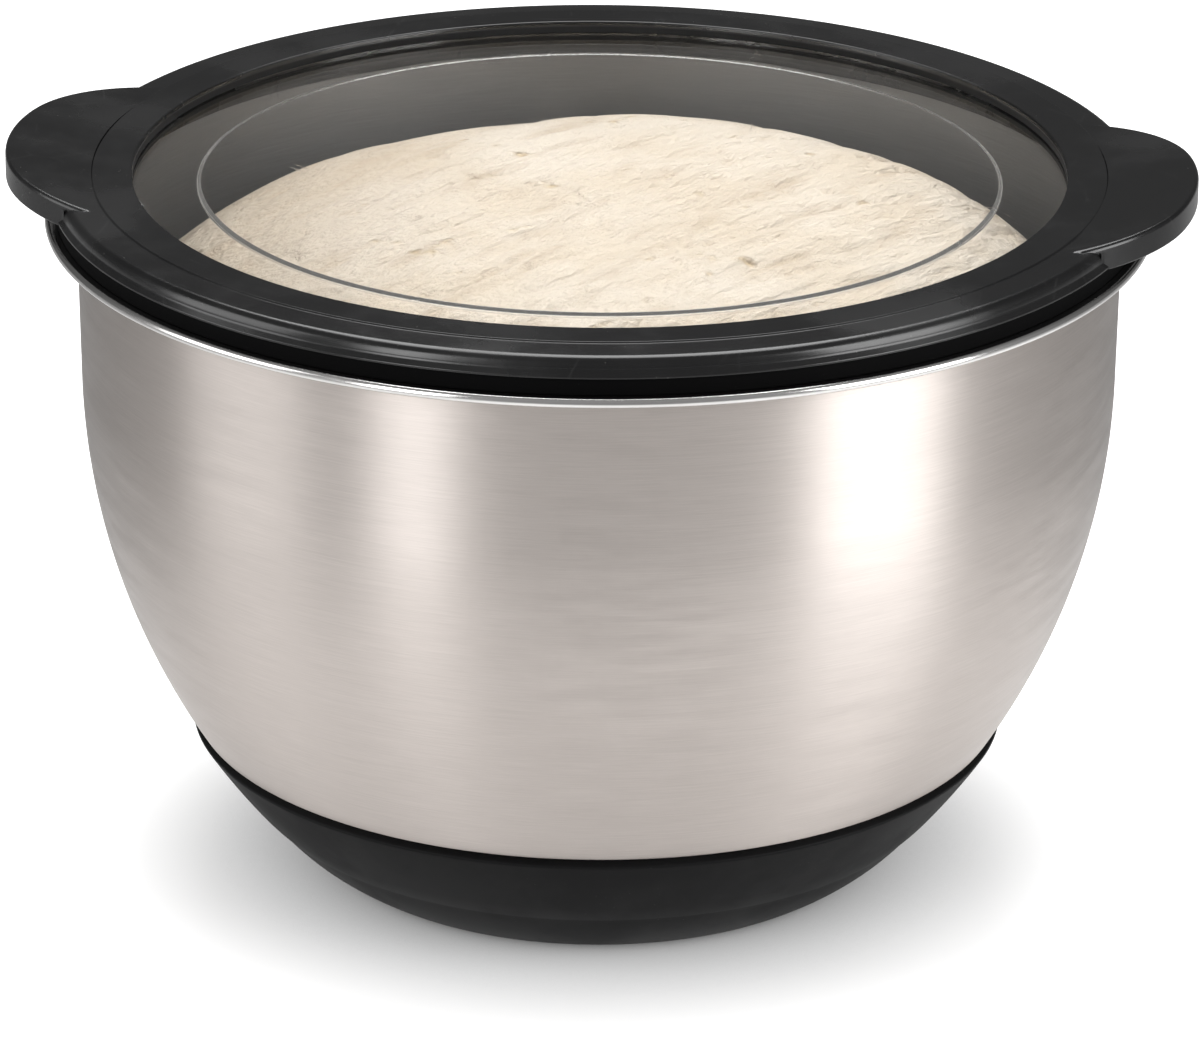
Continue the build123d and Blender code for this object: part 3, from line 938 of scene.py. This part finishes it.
# %% [markdown]
# ## The plastic of the lid
#
# The lid is black plastic with a satin skin. Seen flat on it is almost black, and along its rounded
# shoulder it shows long soft lights. It has been handled: there are flecks of flour and lint, a few
# hairlines and dull smudges, and they show best where the light grazes the flat top. The wall of the
# window lies in its own shade, so it is painted darker and duller there.

# %% Handled black plastic
PLASTIC, SMUDGED_PLASTIC = (0.0035, 0.0035, 0.0037, 1), (0.0085, 0.0085, 0.0087, 1)
FLOUR = (0.34, 0.33, 0.31, 1)
SCRATCHED = (0.2, 0.2, 0.2, 1)
SHADED = (0.001, 0.001, 0.001, 1)
SHADE_DEPTH = (1.6, 0.6)  # millimetres under the ring's top, between which the window wall darkens
SHADE_SKIN = 0.1  # millimetres outwards from the window wall that still count as it
SHADE_ROUGHNESS = 0.9


def make_lid_plastic():
    material, tree, shader = start_material("lid_plastic", Specular_IOR_Level=0.55)
    marks = use_group(tree, handling_marks, Speck_scale=460.0, Speck_size=0.06, Scratch_scale=48.0)
    smudge = ramp(tree, marks.outputs["Smudges"], 0.35, 0.68)
    colour = mix_colours(tree, smudge, PLASTIC, SMUDGED_PLASTIC)
    flour = maths(tree, "MULTIPLY", marks.outputs["Specks"], 0.35)
    colour = mix_colours(tree, flour, colour, FLOUR)
    hairlines = maths(tree, "MULTIPLY", marks.outputs["Scratches"], 0.06)
    colour = mix_colours(tree, hairlines, colour, SCRATCHED)
    place = object_place(tree)
    radius = axis_distance(tree, place)
    height = add_node(tree, "ShaderNodeSeparateXYZ", {0: place}).outputs[2]
    inside = maths(tree, "LESS_THAN", radius, (window_radius + SHADE_SKIN) / MILLIMETRES)
    shade_low, shade_high = [(ring_top - depth) / MILLIMETRES for depth in SHADE_DEPTH]
    below = ramp(tree, height, shade_low, shade_high, 1.0, 0.0)
    in_shade = maths(tree, "MULTIPLY", inside, below)
    colour = mix_colours(tree, in_shade, colour, SHADED)
    tree.links.new(colour, shader.inputs["Base Color"])
    satin = ramp(tree, smudge, 0.0, 1.0, 0.21, 0.3)
    rough = maths(tree, "MAXIMUM", satin, maths(tree, "MULTIPLY", in_shade, SHADE_ROUGHNESS))
    tree.links.new(rough, shader.inputs["Roughness"])
    grain = noise_value(tree, place, 1800.0, detail=2.0)
    add_bump(tree, shader, grain, 0.08, 0.00004)
    return material


# %% Make the ring with its tabs
lid_ring = make_object(draw_ring(), "lid_ring", [make_lid_plastic()])
tabs = [cut_tab(side) for side in (1, -1)]
roots = []
for side_x in (1, -1):
    for side_y in (1, -1):
        roots.append(make_object(draw_root(side_x, side_y), "root", []))
combine(lid_ring, "UNION", tabs + roots)


def mend_shading(piece):
    """Marks smooth faces and sharp edges again after the Booleans."""
    bm = bmesh.new()
    bm.from_mesh(piece.data)
    bmesh.ops.remove_doubles(bm, verts=bm.verts, dist=WELD / MILLIMETRES)
    shade(bm)
    bm.to_mesh(piece.data)
    bm.free()


mend_shading(lid_ring)
finish_piece(lid_ring, "lid", "lid_frame")

# %% [markdown]
# ## The pane
#
# The pane is a clear moulded disc, two millimetres thick. A low plateau in its middle stiffens it, and
# its sloping edge, a little frosted and milky, is the fine circle that shows over the dough. The shader
# is plain clear plastic. For shadow rays it turns transparent, so the lamps reach the dough without the
# slow and noisy work of tracing light through a refracting sheet. Light that comes in low is mostly
# mirrored away by a real pane, so its shadow is darker the flatter the light falls.

# %% Draw and spin the pane
PLATEAU_INSET = 16.0
PLATEAU_RUN = 0.7
PLATEAU_ROUND = 0.4
PANE_ROUND = 0.2
SLOPE_EDGE = (0.0003, 0.0006)  # metres from the slope's middle, between which the frost fades
FROST = 0.24  # roughness
MILK = 0.24  # share of the slope's light
CLEAR_TINT, MILKY = (0.97, 0.975, 0.97, 1), (0.5, 0.485, 0.46, 1)


def draw_pane():
    """Section of the disc, from the axis over its top, round its edge and back below."""
    plateau = window_radius - PLATEAU_INSET
    foot_of_step = plateau + PLATEAU_RUN
    bm, pen = start_section(0, pane_high.z)
    corners = [
        (plateau, pane_high.z, PLATEAU_ROUND),
        (foot_of_step, pane_top, PLATEAU_ROUND),
        (pane_high.x, pane_top, PANE_ROUND),
        (pane_high.x, pane_bottom, PANE_ROUND),
        (foot_of_step, pane_bottom, PLATEAU_ROUND),
        (plateau, pane_bottom + PLATEAU_RISE, PLATEAU_ROUND),
        (0, pane_bottom + PLATEAU_RISE, 0),
    ]
    path_to(bm, pen, corners)
    return lathe(bm)


def make_clear_plastic():
    material, tree, shader = start_material("clear_pane", Transmission_Weight=1.0, IOR=1.49)
    marks = use_group(tree, handling_marks, Speck_scale=380.0, Speck_size=0.05, Scratch_scale=30.0)
    shader.inputs["Base Color"].default_value = CLEAR_TINT
    dull = maths(tree, "MULTIPLY", marks.outputs["Scratches"], 0.12)
    film = ramp(tree, marks.outputs["Smudges"], 0.45, 0.75, 0.0, 0.04)
    radius = axis_distance(tree, object_place(tree))
    slope_middle = (window_radius - PLATEAU_INSET + PLATEAU_RUN / 2) / MILLIMETRES
    off_slope = maths(tree, "ABSOLUTE", maths(tree, "SUBTRACT", radius, slope_middle))
    on_slope = ramp(tree, off_slope, *SLOPE_EDGE, 1.0, 0.0)
    film = maths(tree, "MAXIMUM", film, maths(tree, "MULTIPLY", on_slope, FROST))
    tree.links.new(maths(tree, "ADD", dull, film), shader.inputs["Roughness"])
    flatness = add_node(tree, "ShaderNodeLayerWeight", {"Blend": 0.5}).outputs["Facing"]
    mirrored = ramp(tree, flatness, 0.4, 1.0)
    passed = mix_colours(tree, mirrored, CLEAR_TINT, (0, 0, 0, 1))
    clear = add_node(tree, "ShaderNodeBsdfTransparent", {"Color": passed})
    rays = add_node(tree, "ShaderNodeLightPath")
    either = add_node(
        tree,
        "ShaderNodeMixShader",
        {0: rays.outputs["Is Shadow Ray"], 1: shader.outputs[0], 2: clear.outputs[0]},
    )
    milky = add_node(tree, "ShaderNodeBsdfDiffuse", {"Color": MILKY})
    milk = maths(tree, "MULTIPLY", on_slope, MILK)
    marked = add_node(
        tree, "ShaderNodeMixShader", {0: milk, 1: either.outputs[0], 2: milky.outputs[0]}
    )
    tree.links.new(marked.outputs[0], tree.nodes["Material Output"].inputs["Surface"])
    return material


pane = make_object(draw_pane(), "clear_pane", [make_clear_plastic()])
finish_piece(pane, "lid", "lid_window")

# %% [markdown]
# ## The seal
#
# The seal is a silicone sleeve pushed over the lid's rib, behind its hook. Its flat lip lies on the
# steel rim and is the deep black line under the lid, and its fin reaches into the bowl's mouth.

# %% Draw and spin the seal
FIN_HEIGHT = 1.6
LIP_UPPER_ROUND = 0.3
LIP_LOWER_ROUND = 0.4


def draw_seal():
    """The closed section of the seal, starting in the middle of its lip's upper face."""
    sleeve_inside = rib_radius + RIB_FIT
    sleeve_bottom = seal_low.z
    lip_radius = seal_high.x
    bm, first = start_section((sleeve_inside + lip_radius) / 2, skirt_bottom)
    corners = [
        (lip_radius, skirt_bottom, LIP_UPPER_ROUND),
        (lip_radius, rim_top, LIP_LOWER_ROUND),
        (sleeve_radius, rim_top, HIDDEN_ROUND),
        (sleeve_radius, sleeve_bottom + FIN_HEIGHT, SMALL_ROUND),
        (fin_radius, sleeve_bottom + FIN_HEIGHT / 2, TINY_ROUND),
        (sleeve_radius, sleeve_bottom, SMALL_ROUND),
        (sleeve_inside, sleeve_bottom, SMALL_ROUND),
        (sleeve_inside, skirt_bottom, SMALL_ROUND),
        (first.co.x - SEAM, skirt_bottom, 0),
    ]
    pen = path_to(bm, first, corners)
    bm.edges.new((pen, first))
    return lathe(bm)


seal_silicone = make_silicone("seal_silicone", (0.0015, 0.0015, 0.0016, 1), 0.05, 0.7, 0.04)
seal = make_object(draw_seal(), "lid_seal_ring", [seal_silicone])
finish_piece(seal, "lid", "lid_seal")

# %% [markdown]
# ## The dough
#
# A bowl of rising dough is what the photograph shows through the pane. The dough is not part of the
# bowl, so it is a prop, like the floor, and is left out of the exported model. It is a dome that falls
# away ever faster towards the wall, spun from a formula and then pushed about by noise: broad swells,
# shallow folds that run across it, and small pits. Its skin adds fine wrinkles along the folds, with
# painted shade in their creases, a painted shadow on its left side and a few yellow blisters.

# %% Raise the dough
DOUGH_TOP = 159.0
DOUGH_FALL = 7.9  # the dome's fall at the horizon radius
DOUGH_HORIZON = 92.0
DOUGH_LEAN = 0.43  # how much more it falls to the left
DOUGH_POWER = (4.75, 0.75)  # how suddenly it falls, on the whole and more to the right
DOUGH_LIFT = 0.4  # of the kneaded part
DOUGH_EDGE = 136.0  # height of the place on the wall that sets the disc's size
DOUGH_GAP = 0.4
CALM_RADIUS = 118.0  # towards which the kneading fades
SWELL_SIZE, SWELL_RISE = 55.0, 1.5
FOLD_LENGTH, FOLD_WIDTH, FOLD_DEPTH = 34.0, 9.0, 1.1
PIT_SIZE, PIT_DEPTH, PIT_LEVEL = 5.0, 4.0, 0.45  # only noise above the level makes a pit
DOUGH_RINGS = 130
DOUGH_STEPS = 400
CREASE_TURN = math.radians(57)


def draw_dough():
    """A spun disc from the middle to the steel wall, ready to be shaped."""
    reach = wall_radius(DOUGH_EDGE) - SHEET - DOUGH_GAP
    bm, pen = start_section(0, DOUGH_TOP)
    for index in range(1, DOUGH_RINGS + 1):
        pen = line_to(bm, pen, reach * math.sqrt(index / DOUGH_RINGS), DOUGH_TOP)
    return lathe(bm, DOUGH_STEPS)


def knead(bm):
    """Lets the dome fall, with swells, creases and pits that calm down near the wall."""
    for vert in bm.verts:
        x, y = vert.co.x, vert.co.y
        radius = math.hypot(x, y)
        left = -x / max(radius, 1.0)
        power = DOUGH_POWER[0] - DOUGH_POWER[1] * left
        fall = DOUGH_FALL * (radius / DOUGH_HORIZON) ** power * (1 + DOUGH_LEAN * max(0.0, left))
        calm = max(0.0, 1 - (radius / CALM_RADIUS) ** 6)
        along = x * math.cos(CREASE_TURN) + y * math.sin(CREASE_TURN)
        across = y * math.cos(CREASE_TURN) - x * math.sin(CREASE_TURN)
        swell = noise.noise(Vector((x / SWELL_SIZE, y / SWELL_SIZE, 3.1))) * SWELL_RISE
        fold = noise.noise(Vector((along / FOLD_LENGTH, across / FOLD_WIDTH, 7.7)))
        crease = (1 - abs(fold)) ** 6 * -FOLD_DEPTH
        speckle = noise.noise(Vector((x / PIT_SIZE, y / PIT_SIZE, 1.3)))
        pit = max(0.0, speckle - PIT_LEVEL) * -PIT_DEPTH
        vert.co.z += calm * (swell + crease + pit + DOUGH_LIFT) - fall
    bmesh.ops.recalc_face_normals(bm, faces=bm.faces)
    return bm


# %% Dough skin
WRINKLE_STRETCH = (0.28, 1, 1)
WRINKLE_DEPTH = 0.0056  # metres
CREAM, PALE_CREAM = (0.87, 0.745, 0.6, 1), (0.94, 0.835, 0.715, 1)
SHADOWED = (0.62, 0.51, 0.39, 1)
CREASE_SHADE = (0.62, 0.48, 0.34, 1)
BLISTERED = (0.7, 0.5, 0.26, 1)
SHADOWED_SIDE = (-0.09, -0.015)  # metres to the right, between which the shadowed side ends


def make_dough_skin():
    material, tree, shader = start_material("dough_skin", Roughness=0.62, Specular_IOR_Level=0.3)
    place = object_place(tree)
    mapping = {"Vector": place, "Rotation": (0, 0, -CREASE_TURN)}
    turned = add_node(tree, "ShaderNodeMapping", mapping).outputs[0]
    stretched = add_node(
        tree, "ShaderNodeVectorMath", {0: turned, 1: WRINKLE_STRETCH}, operation="MULTIPLY"
    ).outputs[0]
    wrinkles = noise_value(tree, stretched, 118.0, detail=6.0, roughness=0.62)
    grain = noise_value(tree, place, 520.0, detail=3.0, roughness=0.6)
    cloudy = noise_value(tree, place, 26.0, detail=6.0, roughness=0.6)
    colour = mix_colours(tree, ramp(tree, cloudy, 0.35, 0.65), CREAM, PALE_CREAM)
    # painted shadow: the dough's left side is coloured darker, as if the light fell from the right
    across = add_node(tree, "ShaderNodeSeparateXYZ", {0: place}).outputs[0]
    shadowed = ramp(tree, across, *SHADOWED_SIDE, 0.75, 0.0)
    colour = mix_colours(tree, shadowed, colour, SHADOWED)
    # painted shade: the low parts of the wrinkles are coloured darker, as shade in their creases
    crease_shade = ramp(tree, wrinkles, 0.3, 0.5, 0.5, 0.0)
    colour = mix_colours(tree, crease_shade, colour, CREASE_SHADE)
    blisters = ramp(tree, noise_value(tree, place, 105.0, detail=3.0), 0.64, 0.82)
    colour = mix_colours(tree, maths(tree, "MULTIPLY", blisters, 0.75), colour, BLISTERED)
    tree.links.new(colour, shader.inputs["Base Color"])
    height = maths(tree, "ADD", wrinkles, maths(tree, "MULTIPLY", grain, 0.18))
    height = maths(tree, "SUBTRACT", height, maths(tree, "MULTIPLY", blisters, 0.3))
    add_bump(tree, shader, height, 1.0, WRINKLE_DEPTH)
    return material


dough = make_object(knead(draw_dough()), "dough", [make_dough_skin()])
print("dough rises to", DOUGH_TOP, "mm")

# %% [markdown]
# ## The floor and the studio
#
# The bowl stands on a plain white floor that runs to the horizon. What the camera sees of the floor,
# directly or through the pane, also glows, so it reads as the photograph's white ground. The lamps'
# shadows still darken it, and the glow fades close to the bowl, as skylight does under an overhang.
# Reflections see a weaker glow, brightest in a pool round the front of the bowl, which makes the steel
# light near the foot and darker higher up. None of this glow lights the bowl.
#
# Four soft lamps stand round the bowl. A large one low on the right makes the broad bright band on the
# steel, and a narrow one in front on the left makes the thin one. A weak one further round lifts the left
# side, and a wide one hangs behind and overhead for the lid and the dough. The room is white to the
# camera and through the pane, and otherwise dim. Behind the bowl it is darkest, so the flat black lid and
# the clear pane have nothing bright to mirror.

# %% Lay the floor
FLOOR_REACH = 15.0  # metres
FLOOR_SIDES = 96
FLOOR_WHITE = (0.8, 0.8, 0.8, 1)
SEEN_GLOW = 1.06  # to the camera
SEEN_LEVEL = 0.62  # how much of the lamps' light on the floor the camera sees
MIRRORED_GLOW = 0.38  # in reflections
SHADE_REACH = 0.06  # metres, how far off the bowl still dims the glow
POOL_CENTRE = (0.05, -0.09, 0.0)  # the part of the floor that the steel mirrors most brightly
POOL_EDGE = (0.1, 0.54)  # metres from there, between which reflections of the floor dim
POOL_FAR = 0.36


def seen_straight(tree, rays):
    """One for what the camera sees, also through a clear pane, and zero for mirrored or lit places."""
    bounces = maths(tree, "ADD", rays.outputs["Diffuse Depth"], rays.outputs["Glossy Depth"])
    straight = maths(tree, "LESS_THAN", bounces, 0.5)
    through = maths(tree, "MULTIPLY", rays.outputs["Is Transmission Ray"], straight)
    return maths(tree, "MAXIMUM", rays.outputs["Is Camera Ray"], through)


def make_floor():
    bm = bmesh.new()
    reach = FLOOR_REACH * MILLIMETRES
    bmesh.ops.create_circle(bm, cap_ends=True, segments=FLOOR_SIDES, radius=reach)
    material, tree, shader = start_material("floor_white", Roughness=0.9, Specular_IOR_Level=0.0)
    shader.inputs["Emission Color"].default_value = (1, 1, 1, 1)
    rays = add_node(tree, "ShaderNodeLightPath")
    distance = add_node(
        tree,
        "ShaderNodeVectorMath",
        {0: object_place(tree), 1: POOL_CENTRE},
        operation="DISTANCE",
    ).outputs["Value"]
    pool = ramp(tree, distance, *POOL_EDGE, 1.0, POOL_FAR)
    glossy = rays.outputs["Is Glossy Ray"]
    level = add_node(tree, "ShaderNodeMix", {0: glossy, 2: 1.0, 3: pool}).outputs[0]
    straight = seen_straight(tree, rays)
    dimmed = maths(tree, "MULTIPLY", straight, 1 - SEEN_LEVEL)
    lit = maths(tree, "SUBTRACT", level, dimmed)
    painted = mix_colours(tree, lit, (0, 0, 0, 1), FLOOR_WHITE)
    tree.links.new(painted, shader.inputs["Base Color"])
    mirrored = maths(tree, "MAXIMUM", glossy, rays.outputs["Is Transmission Ray"])
    mirrored = maths(tree, "MULTIPLY", mirrored, MIRRORED_GLOW)
    mirrored = maths(tree, "MULTIPLY", mirrored, level)
    open_sky = add_node(tree, "ShaderNodeAmbientOcclusion", {"Distance": SHADE_REACH}).outputs["AO"]
    seen = maths(tree, "MULTIPLY", straight, SEEN_GLOW)
    seen = maths(tree, "MULTIPLY", seen, open_sky)
    tree.links.new(maths(tree, "MAXIMUM", seen, mirrored), shader.inputs["Emission Strength"])
    floor = make_object(bm, "floor", [material])
    print("floor laid, radius", FLOOR_REACH, "m")


make_floor()


# %% Hang the lamps
LAMP_TARGET = Vector((0, 0, 0.09))
LAMPS = {  # azimuth and elevation in degrees, then distance, width and height in metres, and watts
    "right_softbox": (59, 15, 1.0, 0.54, 0.75, 7.8),
    "front_left_softbox": (-37, 15, 1.1, 0.3, 0.75, 3.9),
    "left_softbox": (-77, 15, 1.1, 0.6, 0.75, 3.9),
    "top_softbox": (-178, 66, 1.6, 1.1, 1.1, 21.0),
}


def hang_softbox(name, azimuth, elevation, distance, width, height, power):
    """A rectangular lamp aimed at the bowl. The azimuth counts from the camera, to its right."""
    angle, lift = math.radians(azimuth + CAMERA_TURN), math.radians(elevation)
    level = math.cos(lift)
    away = Vector((math.sin(angle) * level, -math.cos(angle) * level, math.sin(lift)))
    data = bpy.data.lights.new(name, "AREA")
    data.shape, data.size, data.size_y = "RECTANGLE", width, height
    data.energy = power
    lamp = bpy.data.objects.new(name, data)
    facing = away.to_track_quat("Z", "Y").to_matrix().to_4x4()
    lamp.matrix_world = Matrix.Translation(LAMP_TARGET + away * distance) @ facing
    bpy.context.scene.collection.objects.link(lamp)
    print(name, "at azimuth", azimuth, "elevation", elevation)


for lamp_name, lamp_values in LAMPS.items():
    hang_softbox(lamp_name, *lamp_values)

# %% Dim the room
ROOM_LIGHT = 0.32
ROOM_DARK = 0.115
ROOM_FADE = (-0.2, 0.75)  # how far a direction leads behind the bowl, as the light falls


def make_room():
    """A plain room, darker behind the bowl, and white where it is seen straight."""
    world = bpy.data.worlds.new("room")
    world.use_nodes = True
    bpy.context.scene.world = world
    tree = world.node_tree
    direction = add_node(tree, "ShaderNodeTexCoord").outputs["Generated"]
    turn = math.radians(CAMERA_TURN)
    behind = add_node(
        tree,
        "ShaderNodeVectorMath",
        {0: direction, 1: (-math.sin(turn), math.cos(turn), 0)},
        operation="DOT_PRODUCT",
    ).outputs["Value"]
    level = ramp(tree, behind, *ROOM_FADE, ROOM_LIGHT, ROOM_DARK)
    rays = add_node(tree, "ShaderNodeLightPath")
    straight = seen_straight(tree, rays)
    strength = add_node(tree, "ShaderNodeMix", {0: straight, 2: level, 3: 1.0}).outputs[0]
    background = tree.nodes["Background"]
    background.inputs["Color"].default_value = (1, 1, 1, 1)
    tree.links.new(strength, background.inputs["Strength"])
    print("room levels", ROOM_LIGHT, "to", ROOM_DARK)


make_room()
bpy.context.scene.view_settings.view_transform = "Standard"
